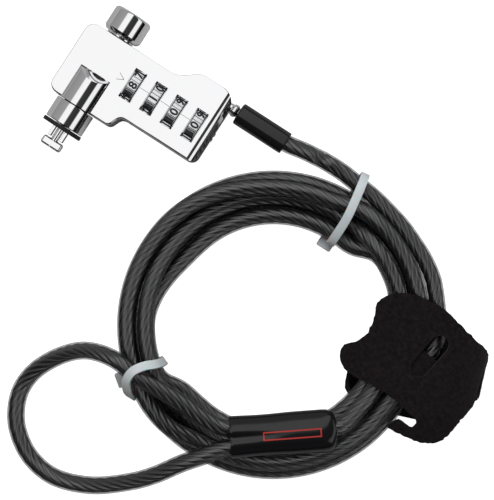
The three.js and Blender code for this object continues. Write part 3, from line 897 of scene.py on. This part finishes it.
def make_engravings():
    """The index line that links the windows, and an open arrow that points at the first dial."""
    half = WINDOW_WIDTH / 2 + 0.35
    for index in range(3):
        start, end = DIAL_PLACES[index] + half, DIAL_PLACES[index + 1] - half
        strip(f"index_line_{index + 1}", (start, 0.6), (end, 0.6), 0.13)
    strip("arrow_1", (16.0, -1.1), (18.1, 0.0), 0.16)
    strip("arrow_2", (18.1, 0.0), (16.0, 1.1), 0.16)


def make_neck():
    stud = turned("stud_look", "x", rounded([
        (0, 44.3), (2.4, 44.3), (3, 44.9), (3, 46.6), (1.5, 46.6), (1.5, 49.6), (2.0, 50.2),
        (2.0, 51.2), (1.5, 51.6), (1.5, STUD_TAIL), (0, STUD_TAIL),
    ], 0.3), STUD_Y, STUD_Z, chrome)
    finish_piece(sharpen(stud), "cable", "chrome", "swivel_stud")
    sleeve = turned("head_sleeve_look", "x", rounded([
        (1.8, 52), (3.5, 52), (3.5, SLEEVE_END), (2.75, SLEEVE_END), (2.75, 52.9), (1.8, 52.9),
    ], 1.0, 6), STUD_Y, STUD_Z, plastic)
    return finish_piece(sharpen(sleeve), "cable", "black_plastic", "head_sleeve")


# ---- sleeve on the loop: an oval that follows its two cables at the open end ----
SLEEVE_WIDE, SLEEVE_HIGH = 6.3, 4.0
CREASE_START, CREASE_DEPTH, CREASE_WIDTH = 12, 0.75, 1.3
STRIPE_ENDS, STRIPE_SIDES = (4.6, 21.5), (-0.9, 1.3)
STRIPE_WIDTH = 0.42


def oval(distance, wide, high, crease, sides=96):
    angles = np.linspace(0, 2 * math.pi, sides, endpoint=False)
    ring = []
    for angle in angles:
        across = wide * math.cos(angle)
        dip = crease * math.exp(-((across / CREASE_WIDTH) ** 2))
        ring.append(along_sleeve(distance, across, (high - dip) * math.sin(angle)))
    return ring


def crease_share(distance):
    """How much of the crease between the two cables has formed, on the way to the open end."""
    return smoothstep((distance - CREASE_START) / (sleeve_length - CREASE_START))


def stripe(places):
    """One line of the red outline, through [distance, sideways] places on the upper side."""
    points = [along_sleeve(*place, sleeve_height(*place)) for place in places]
    return ribbon("sleeve_line", points, STRIPE_WIDTH, 0.05, red)


def make_loop_sleeve():
    """The outside from the closed end to the open end, and back inside."""
    closed_end = [
        (0.0, 3.3, 2.9), (0.15, 4.2, 3.2), (0.6, 5.1, 3.5), (1.4, 5.75, 3.75), (2.6, 6.2, 3.93),
        (4.2, SLEEVE_WIDE, SLEEVE_HIGH),
    ]
    rings = []
    for distance, wide, high in closed_end:
        rings += oval(distance, wide, high, 0.0)
    for distance in np.linspace(6, sleeve_length - 0.3, 40):
        share = crease_share(distance)
        waist = 0.2 * share * (1 - share) * 4
        rings += oval(distance, SLEEVE_WIDE - waist, SLEEVE_HIGH, CREASE_DEPTH * share)
    rings += oval(sleeve_length, 6.2, 3.9, 0.75)
    rings += oval(sleeve_length, 6.0, 3.6, 0.6)
    rings += oval(sleeve_length - 6, 5.9, 3.5, 0.5)
    rings += oval(3.0, 5.9, 3.5, 0.0)
    rings += oval(0.5, 3.4, 2.85, 0.0)
    sides = 96
    faces = ring_faces(len(rings) // sides, sides)
    sleeve = mesh_piece("loop_sleeve_look", rings, faces, plastic)
    clean(sleeve)
    lines = [
        stripe([(distance, sideways) for distance in np.linspace(*STRIPE_ENDS, 40)])
        for sideways in STRIPE_SIDES
    ]
    lines += [
        stripe([(distance, sideways) for sideways in np.linspace(-1.1, 1.5, 9)])
        for distance in STRIPE_ENDS
    ]
    whole = joined("loop_sleeve_look", [sleeve] + lines)
    return finish_piece(whole, "cable", "black_plastic", "loop_sleeve")


def sleeve_height(distance, sideways):
    """Height of the sleeve's upper side above its axis."""
    dip = CREASE_DEPTH * crease_share(distance) * math.exp(-((sideways / CREASE_WIDTH) ** 2))
    return (SLEEVE_HIGH - dip) * math.sqrt(1 - (sideways / SLEEVE_WIDE) ** 2) - 0.01


def ribbon(name, points, width, lift, material):
    """A thin flat band lying along points, level from side to side."""
    points = np.array(points, float)
    ways = np.gradient(points, axis=0)
    sides = np.cross(ways, [0, 0, 1.0])
    sides *= (width / 2) / np.linalg.norm(sides, axis=1)[:, None]
    up = np.array([0, 0, lift])
    rings = np.stack([points + a * sides + b * up for a, b in CORNERS], 1).reshape(-1, 3)
    return mesh_piece(name, rings, grid_faces(len(points), 4), material, smooth=False)


# ---- ties ----
TIE_WIDTH, TIE_THICKNESS = 2.7, 1.05
TIE_1 = [
    (55.4, 30.2, 7), (55.2, 30.3, 12.6), (55.8, 38.2, 17.3), (57, 44, 18.2), (58, 49, 17.6),
    (58.5, 52.0, 14), (58.6, 52.2, 6), (58, 46, 0.75), (56.4, 39, 0.7), (55.4, 32.4, 0.9),
]
TIE_2 = [
    (-161.9, 34.7, 8), (-161.9, 34.6, 17), (-162.3, 36.6, 22.6), (-163.1, 40, 24.6),
    (-162.4, 43.6, 24.8), (-159.9, 46.2, 23.2), (-156.0, 47.5, 19.5), (-153.2, 47.6, 13),
    (-154, 47.5, 5.5), (-157, 45.8, 0.8), (-160, 40, 0.7), (-161.5, 36, 1.0),
]
TIE_CORNER = 0.22
TIE_STEP = 0.3
TIE_RIDGE, TIE_RIDGE_DEPTH = 0.9, 0.16
LOCK_SIZE = (1.7, 2.3, 2.0)


def make_tie(index, places, lock, ridged):
    """A flat nylon band round the cable, ridged where asked, with its lock block."""
    route = closed_route([around_coil(*place) for place in places], TIE_STEP, 2)
    ways = unit_rows(np.roll(route, -1, axis=0) - np.roll(route, 1, axis=0))
    away = route - route.mean(axis=0)
    away = unit_rows(away - ways * (away * ways).sum(1)[:, None])
    sides = np.cross(ways, away)
    half, thick = TIE_WIDTH / 2, TIE_THICKNESS / 2
    section = []
    for a, b, turn in ((1, 1, 0), (-1, 1, 90), (-1, -1, 180), (1, -1, 270)):
        section += [
            (a * (half - TIE_CORNER) + TIE_CORNER * math.cos(math.radians(turn + part)),
             b * (thick - TIE_CORNER) + TIE_CORNER * math.sin(math.radians(turn + part)))
            for part in (0, 30, 60, 90)
        ]
    route[:, 2] = np.maximum(route[:, 2], thick + 0.05)
    rings = []
    for i, point in enumerate(route):
        ridge = TIE_RIDGE_DEPTH if ridged and int(i * TIE_STEP / (TIE_RIDGE / 2)) % 2 else 0.0
        for across, out in section:
            lift = ridge if out > 0 and abs(across) < half * 0.8 else 0.0
            rings.append(point + sides[i] * across + away[i] * (out - lift))
    faces = ring_faces(len(route), len(section))
    band = mesh_piece(f"tie_{index}_look", rings, faces, nylon)
    clean(band)
    degrees, radius, z = lock
    middle = np.array(around_coil(degrees, radius, z))
    out, side = coil_directions(degrees)
    deep, wide, high = LOCK_SIZE
    corners = [
        middle + out * a * deep + side * b * wide + np.array([0, 0, c * high])
        for c in (-1, 1) for a, b in CORNERS
    ]
    block = mesh_piece("lock", corners, grid_faces(2, 4), nylon, smooth=False)
    bevel(block, 0.4, 3)
    sharpen(block)
    whole = joined(f"tie_{index}_look", [band, block])
    return finish_piece(whole, "cable", "nylon", f"tie_{index}")


# ---- strap: a sheet of felt over the coil, folded at its outer side and back under the coil,
# and a tongue of it under the slot. The profile is [outward, height] from the coil's centre, the
# top is [degrees, radius], and the tail is [from where, distance along, sideways]. ----
STRAP_MIDDLE = -12.5
FELT_THICKNESS = 1.1
STRAP_PROFILE = [
    (21.0, 15.6), (23.5, 17.6), (27, 18.7), (34, 19.0), (46, 19.0), (53, 18.6), (59, 16.9),
    (63, 13.6), (64.6, 9.5), (63.8, 5.0), (60.5, 2.0), (55, 0.9), (48, 0.65), (38, 0.65),
    (30, 0.7), (27, 1.6), (25.8, 4.0), (25.2, 8.0),
]
STRAP_TOP = [
    (12.5, 31.2), (15.0, 35.6), (14.2, 40.1), (9.9, 46.0), (6.2, 50.1), (0.9, 54.6), (-3.5, 59.2),
    (-9.2, 64.6), (-13.9, 63.6), (-21.0, 63.7), (-27.3, 61.8), (-33.8, 60.7), (-36.6, 58.8),
    (-38.5, 55.8), (-40.4, 51.1), (-41.4, 47.2), (-41.6, 44.8), (-36.9, 46.0), (-36.4, 50.6),
    (-33.9, 50.8), (-33.0, 47.9), (-31.3, 40.3), (-31.2, 34.2), (-31.3, 24.9), (-23.9, 21.9),
    (-15.6, 21.9), (-11.6, 24.3), (-4.9, 27.5), (5.8, 30.0),
]
STRAP_TAIL = [
    ("fold", -3, -7), ("fold", -3, 3), ("fold", 8, 6), ("fold", 20, 8), ("end", -18, 4),
    ("end", -8, -3), ("end", 0, -5), ("end", 0, -12), ("end", -8, -17), ("end", -16, -19),
    ("fold", 16, -19), ("fold", 8, -12),
]
STRAP_SLOT = [(-4, 51), (-19.2, 43.7)]
SLOT_WIDTH = 5.4
TAIL_DROP, TONGUE_DROP = 0.1, 1.3
TONGUE_MARGIN, TONGUE_START, TONGUE_PAST = 1.5, 7, 2


def strap_local(degrees, radius):
    """Distance outward and sideways in the strap's own directions."""
    away = math.radians(degrees - STRAP_MIDDLE)
    return radius * math.cos(away), radius * math.sin(away)





def inside(points, outline):
    """Which points lie inside a closed outline."""
    x, y = points[:, 0], points[:, 1]
    found = np.zeros(len(points), bool)
    for a, b in zip(outline, np.roll(outline, -1, axis=0)):
        crosses = (a[1] > y) != (b[1] > y)
        reach = a[0] + (b[0] - a[0]) * (y - a[1]) / (b[1] - a[1] + 1e-12)
        found ^= crosses & (x < reach)
    return found


def flat_mesh(outline, holes, step, rough):
    """Triangles that fill a flat outline around its holes, small enough to bend."""
    rng = np.random.default_rng(4)
    rings = [outline + rng.normal(0, rough, outline.shape)]
    rings += [hole + rng.normal(0, rough / 2, hole.shape) for hole in holes]
    low, high = outline.min(0), outline.max(0)
    columns, lines = (np.arange(low[axis], high[axis], step) for axis in range(2))
    grid = np.stack(np.meshgrid(columns, lines), -1).reshape(-1, 2)
    grid = grid + rng.uniform(-0.2, 0.2, grid.shape) * step

    def in_felt(places):
        found = inside(places, rings[0])
        for hole in rings[1:]:
            found &= ~inside(places, hole)
        return found

    points, edges = [], []
    for ring in rings:
        start = len(points)
        points += list(ring)
        edges += [(start + i, start + (i + 1) % len(ring)) for i in range(len(ring))]
    points += list(grid[in_felt(grid)])
    made = delaunay_2d_cdt([Vector(point) for point in points], edges, [], 0, 1e-5)
    flat = np.array([tuple(v) for v in made[0]])
    faces = np.array([face for face in made[2] if len(face) == 3])
    return flat, faces[in_felt(flat[faces].mean(1))]


def make_strap():
    profile, _ = smooth_route([(*point, 0) for point in STRAP_PROFILE], 0.4)
    along = lengths_along(profile)
    fold = int(np.argmax(profile[:, 0]))

    def on_sheet(degrees, radius):
        """A place seen from above, as [along the profile, sideways] on the upper layer."""
        out, side = strap_local(degrees, radius)
        return np.array([np.interp(out, profile[: fold + 1, 0], along[: fold + 1]), side])

    top = closed_route([(*on_sheet(*place), 0) for place in STRAP_TOP], 0.8, 3)[:, :2]
    origin = {"fold": along[fold], "end": along[-1]}
    tail = np.array([(origin[where] + distance, side) for where, distance, side in STRAP_TAIL])
    first, last = (on_sheet(*place) for place in STRAP_SLOT)
    way = (last - first) / np.linalg.norm(last - first)
    heading = math.degrees(math.atan2(way[1], way[0]))
    half = SLOT_WIDTH / 2
    hole = arc(*(last - way * half), half, heading - 90, heading + 90, 12)
    hole += arc(*(first + way * half), half, heading + 90, heading + 270, 12)
    across = np.array([-way[1], way[0]]) * (half + TONGUE_MARGIN)
    start, stop = first + way * TONGUE_START, last + way * TONGUE_PAST
    tongue = np.array([start - across, stop - across, stop + across, start + across])
    layers = [
        (*flat_mesh(top, [np.array(hole)], 0.8, 0.09), 0.0),
        (*flat_mesh(tail, [], 1.0, 0.05), -TAIL_DROP),
        (*flat_mesh(tongue, [], 1.0, 0.02), -TONGUE_DROP),
    ]
    shape = profile, along, fold
    pieces = [felt_layer(f"strap_{i}", *layer, *shape) for i, layer in enumerate(layers)]
    whole = joined("strap_look", pieces)
    return finish_piece(whole, "cable", "felt", "strap")


def felt_layer(name, flat, faces, lift, profile, along, fold):
    """Bends a flat layer along the profile and gives it thickness and a soft uneven surface."""
    ways = unit_rows(np.gradient(profile, axis=0))
    out, side = coil_directions(STRAP_MIDDLE)
    up = np.array([0, 0, 1.0])
    place = np.stack([np.interp(flat[:, 0], along, profile[:, k]) for k in range(2)], 1)
    way = np.stack([np.interp(flat[:, 0], along, ways[:, k]) for k in range(2)], 1)
    normal = np.stack([-way[:, 1], way[:, 0]], 1)
    centre = np.array([COIL[0], COIL[1], 0])
    rise = np.where(flat[:, 0] < along[fold], droop(place[:, 0], flat[:, 1]), 0)[:, None]
    middle = centre + place[:, :1] * out + flat[:, 1:] * side + (place[:, 1:] + rise) * up
    across = normal[:, :1] * out + normal[:, 1:] * up
    half = FELT_THICKNESS / 2
    count = len(flat)
    rng = np.random.default_rng(8)
    nap = rng.normal(0, 0.06, (2, count, 1)).clip(-0.12, 0.12)
    outer = middle + across * (half + lift + nap[0])
    inner = middle + across * (lift - half + nap[1])
    points = np.vstack([outer, inner])
    triangles = faces.tolist()
    edges = {}
    for a, b, c in triangles:
        for edge in ((a, b), (b, c), (c, a)):
            edges[edge] = edges.get(edge, 0) + 1
    rim = [(a, b) for a, b in edges if (b, a) not in edges]
    walls = [(b, a, a + count, b + count) for a, b in rim]
    backs = [(c + count, b + count, a + count) for a, b, c in triangles]
    layer = mesh_piece(name, points, triangles + backs + walls, felt)
    clean(layer)
    return layer


def droop(out, side):
    """The sheet sags at its free lower corner and over the gap inside the coil."""
    corner = np.clip((-side - 12) / 14, 0, 1) ** 2 * 5.0
    inner = np.clip((30 - out) / 9, 0, 1) ** 2 * 2.5
    return -corner - inner


make_front_cover()
make_rear_cover()
make_lock_end()
make_spindle()
digits = [digit_mesh(digit) for digit in range(10)]
for dial_index, dial_x in enumerate(DIAL_PLACES):
    make_dial(dial_index, dial_x, digits)
make_engravings()
head_sleeve = make_neck()
loop_sleeve = make_loop_sleeve()
tie_1 = make_tie(1, TIE_1, (57, 29.2, 2.3), False)
tie_2 = make_tie(2, TIE_2, (-160, 48.8, 2.6), True)
strap = make_strap()

# ---- stage: a floor that the camera sees as white, and a dome for the chrome to reflect ----
DOME_BANDS = [
    (-90, 0.27), (-36, 0.33), (-30, 0.95), (-2, 1.0), (4, 0.04), (36, 0.03),
    (42, 0.95), (62, 0.9), (67, 0.04), (90, 0.04),
]
HORIZON_FADE = (0.16, 0.42)
HORIZON_LEVEL = 0.035
WEST_LIFT = 0.6
SOUTH_PANEL = (-0.36, -0.46)


def make_stage():
    mesh = bpy.data.meshes.new("table")
    mesh.from_pydata([(-3, -3, 0), (3, -3, 0), (3, 3, 0), (-3, 3, 0)], [], [(0, 1, 2, 3)])
    table = add_object("table", mesh)
    white = shader("table_white", (0.42, 0.42, 0.42), 0.8, Emission_Color=(1, 1, 1, 1))
    seen = add_node(white, "ShaderNodeLightPath")
    connect(white, (seen, "Is Camera Ray", principled(white), "Emission Strength"))
    mesh.materials.append(white)


def make_world():
    """A studio dome with bands of light and dark, by the angle from straight up towards head X.

    It fades to dark at the horizon, less so towards -X, and has a dark panel towards -Y.
    """
    world = bpy.data.worlds.new("studio")
    bpy.context.scene.world = world
    world.use_nodes = True
    direction = add_node(world, "ShaderNodeTexCoord")
    parts = add_node(world, "ShaderNodeSeparateXYZ")
    angle = add_node(world, "ShaderNodeMath", operation="ARCTAN2")
    turn = math.pi / 2
    spread = add_node(world, "ShaderNodeMapRange", From_Min=-turn, From_Max=turn)
    ramp = add_node(world, "ShaderNodeValToRGB")
    bands = ramp.color_ramp.elements
    bands.remove(bands[1])
    for index, (degrees, level) in enumerate(DOME_BANDS):
        band = bands.new((degrees + 90) / 180) if index else bands[0]
        band.color = (level, level, level, 1)
    west = add_node(world, "ShaderNodeMath", operation="MULTIPLY", use_clamp=True)
    west.inputs[1].default_value = -WEST_LIFT
    lifted = add_node(world, "ShaderNodeMath", operation="ADD")
    south = add_node(
        world, "ShaderNodeMapRange",
        From_Min=SOUTH_PANEL[0], From_Max=SOUTH_PANEL[1], To_Max=-1.0,
    )
    height = add_node(world, "ShaderNodeMath", operation="ADD")
    rise = add_node(
        world, "ShaderNodeMapRange", interpolation_type="SMOOTHSTEP",
        From_Min=HORIZON_FADE[0], From_Max=HORIZON_FADE[1], To_Min=HORIZON_LEVEL,
    )
    shade = add_node(world, "ShaderNodeMixRGB", blend_type="MULTIPLY", Fac=1.0)
    background = world.node_tree.nodes["Background"]
    background.inputs["Strength"].default_value = 1.0
    connect(
        world,
        (direction, "Generated", parts, "Vector"),
        (parts, "X", angle, 0), (parts, "Z", angle, 1),
        (angle, "Value", spread, "Value"), (spread, "Result", ramp, "Fac"),
        (parts, "X", west, 0), (west, "Value", lifted, 0), (parts, "Z", lifted, 1),
        (parts, "Y", south, "Value"), (lifted, "Value", height, 0), (south, "Result", height, 1),
        (height, "Value", rise, "Value"),
        (ramp, "Color", shade, "Color1"), (rise, "Result", shade, "Color2"),
        (shade, "Color", background, "Color"),
    )


def make_light(name, place, aim, size, power):
    data = bpy.data.lights.new(name, "AREA")
    data.size = size
    data.energy = power
    light = add_object(name, data)
    light.visible_glossy = False
    light.location = place
    light.rotation_euler = (Vector(aim) - Vector(place)).to_track_quat("-Z", "Y").to_euler()


make_stage()
make_world()
centre = row(80, -35, 0)
make_light("overhead", (centre.x - 0.25, centre.y + 0.35, 0.8), centre, 0.5, 5)

for cad_node in frame["nodes"].values():
    cad_node.data.materials.clear()
SLOT_MATERIALS = {
    "chrome": chrome, "steel": steel, "brass": brass, "dial_metal": dial_metal,
    "washer_rubber": rubber, "black_plastic": plastic, "cable": jacket, "nylon": nylon,
    "felt": felt,
}
for entry in frame["record"]["subparts"]:
    frame["nodes"][entry["node"]].data.materials.append(SLOT_MATERIALS[entry["material_slot"]])

frame["nodes"]["spindle_bush"].data.materials[0] = chrome
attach(strands, "cable")
finish_piece(cable, "cable", "cable", "cable_lead", "cable_coil", "cable_loop")
